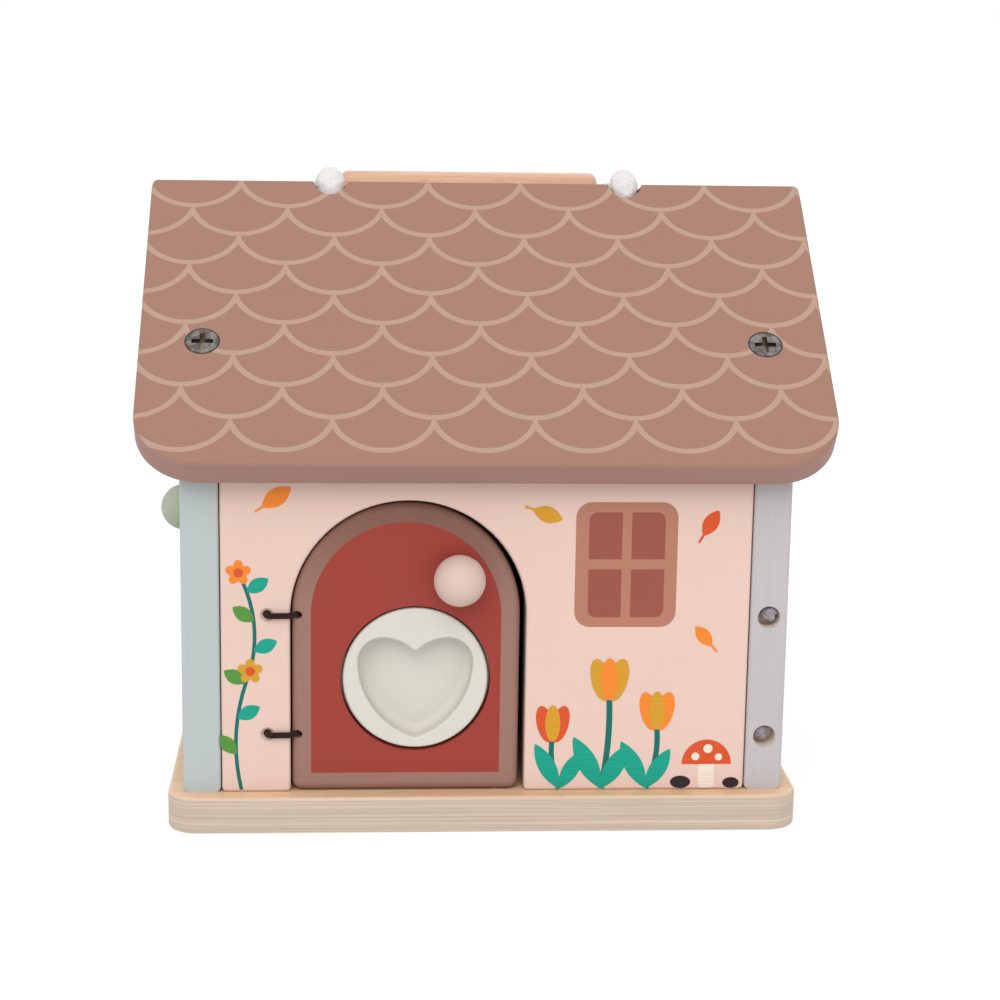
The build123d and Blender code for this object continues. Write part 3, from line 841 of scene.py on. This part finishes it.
# Window
inks["frame"].draw(rounded(27.7, 66.3, 60.0, 106.8, (5, 5, 5, 5)), 0)
for x0, x1, west in ((31.9, 42.4, True), (45.4, 56.0, False)):
    for z0, z1, low in ((69.5, 85.1, True), (88.4, 103.5, False)):
        corner = {(True, True): 0, (False, True): 1, (False, False): 2, (True, False): 3}[(west, low)]
        radii = [0.25, 0.25, 0.25, 0.25]
        radii[corner] = 2.6
        inks["pane"].draw(rounded(x0, z0, x1, z1, radii), 1)


def tulip(x, foot, top, sag, ink, size):
    """Tulip of three petals on a bent stem with two long leaves."""
    line = bow((x, foot), (x + sag, top), -sag / 2)
    inks["stem"].draw(band(line, 1.7 * size), 0)
    hx, hz = line[-1]
    inks["leaf"].draw(leaf(x, foot, 17 * size, 5.6 * size, 118), 1)
    inks["leaf"].draw(leaf(x, foot, 14.5 * size, 5.2 * size, 60), 2)
    inks[ink].draw(ellipse(hx - 2.4 * size, hz + 4.2 * size, 2.7 * size, 6.2 * size, 14), 3)
    inks[ink].draw(ellipse(hx + 2.4 * size, hz + 4.2 * size, 2.7 * size, 6.2 * size, -14), 4)
    inks["gold" if ink != "gold" else "amber"].draw(ellipse(hx, hz + 4.4 * size, 2.4 * size, 6.0 * size), 5)


def mushroom(x, foot, size):
    """Toadstool with a domed cap and pale spots."""
    inks["cream"].draw(rounded(x - 2.6 * size, foot, x + 2.6 * size, foot + 9 * size, (1.4, 1.4, 1, 1)), 1)
    cap = []
    for k in range(21):
        a = math.pi * k / 20
        cap.append((x + 8 * size * math.cos(a), foot + (8 + 8.2 * math.sin(a)) * size))
    inks["ember"].draw(cap, 2)
    for dx, dz, r in ((-3.6, 10.6, 1.3), (0.4, 13.2, 1.5), (3.9, 10.4, 1.2)):
        inks["cream"].draw(ellipse(x + dx * size, foot + dz * size, r * size, r * size, 0, 16), 3)


# Tulip bed beside a toadstool
tulip(24.0, GROUND, 30.0, -2.4, "ember", 1.0)
tulip(37.5, GROUND, 44.0, 2.0, "gold", 1.15)
tulip(52.0, GROUND, 34.0, 3.0, "amber", 1.05)
mushroom(71.5, GROUND, 1.0)
inks["coal"].draw(ellipse(63.2, 14.6, 3.3, 2.1), 1)
inks["coal"].draw(ellipse(79.6, 14.3, 2.7, 1.8), 1)

# Trailing vine on the stile beside the door
vine = bow((-77.5, 12.8), (-74.5, 52.0), 3.0) + bow((-74.5, 52.0), (-78.0, 84.0), -3.0)[1:]
inks["stem"].draw(band(vine, 1.2), 0)
for k, lean in ((3, 130), (6, 28), (9, 150), (12, 24), (15, 145), (18, 32)):
    inks["grass" if k % 2 else "leaf"].draw(leaf(*vine[k], 8.0, 4.6, lean), 1)
for k, ink in ((20, "amber"), (10, "gold")):
    x, z = vine[k]
    for petal in range(5):
        lean = 72 * petal + 18
        a = math.radians(lean)
        outline = ellipse(x + 2.2 * math.cos(a), z + 2.2 * math.sin(a), 1.9, 1.5, lean, 14)
        inks[ink].draw(outline, 2 + petal % 3)
    inks["ember"].draw(ellipse(x, z, 1.5, 1.5, 0, 14), 5)

# Plain oval leaves adrift
for x, z, size, lean, ink in (
    (-70.5, 105.0, 11.0, 35, "amber"),
    (14.0, 104.5, 10.0, -20, "gold"),
    (68.0, 96.0, 9.5, 60, "ember"),
    (72.0, 60.0, 8.5, 130, "amber"),
):
    inks[ink].draw(leaf(x, z, size, size * 0.52, lean), 1)
    tip = math.radians(lean)
    foot = (x - 2.6 * math.cos(tip), z - 2.6 * math.sin(tip))
    inks[ink].draw(band([foot, (x + 1.0 * math.cos(tip), z + 1.0 * math.sin(tip))], 0.8), 0)
for ink in inks.values():
    ink.finish()


# Studio
def sun(name, azimuth, elevation, spread, power):
    """Even, soft light that comes from a direction, with azimuth 0 at the front and 90 at the right."""
    a, e = math.radians(azimuth), math.radians(elevation)
    source = Vector((math.sin(a) * math.cos(e), -math.cos(a) * math.cos(e), math.sin(e)))
    data = bpy.data.lights.new(name, "SUN")
    data.energy = power
    data.angle = math.radians(spread)
    light = bpy.data.objects.new(name, data)
    light.rotation_euler = source.to_track_quat("Z", "Y").to_euler()
    bpy.context.scene.collection.objects.link(light)


def make_floor(half):
    """Pale backlit floor."""
    corners = [(-half, -half, 0), (half, -half, 0), (half, half, 0), (-half, half, 0)]
    material = bpy.data.materials.new("floor")
    material.use_nodes = True
    shader = material.node_tree.nodes["Principled BSDF"]
    shader.inputs["Base Color"].default_value = (0.25, 0.25, 0.25, 1)
    shader.inputs["Roughness"].default_value = 1.0
    shader.inputs["Specular IOR Level"].default_value = 0.0
    shader.inputs["Emission Color"].default_value = (1, 1, 1, 1)
    shader.inputs["Emission Strength"].default_value = 0.76
    floor = mesh_piece("floor", corners, [(0, 1, 2, 3)], material, smooth=False)
    floor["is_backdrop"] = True


make_floor(half=60)
world = bpy.data.worlds.new("studio")
bpy.context.scene.world = world
world.use_nodes = True
backdrop = world.node_tree.nodes["Background"]
backdrop.inputs["Color"].default_value = (1, 1, 1, 1)
backdrop.inputs["Strength"].default_value = 1.0
sun("front", azimuth=-12, elevation=42, spread=44, power=1.38)
sun("back", azimuth=160, elevation=42, spread=60, power=0.3)
bpy.context.scene.view_settings.view_transform = "Standard"

low, high = (list(corner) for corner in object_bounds())
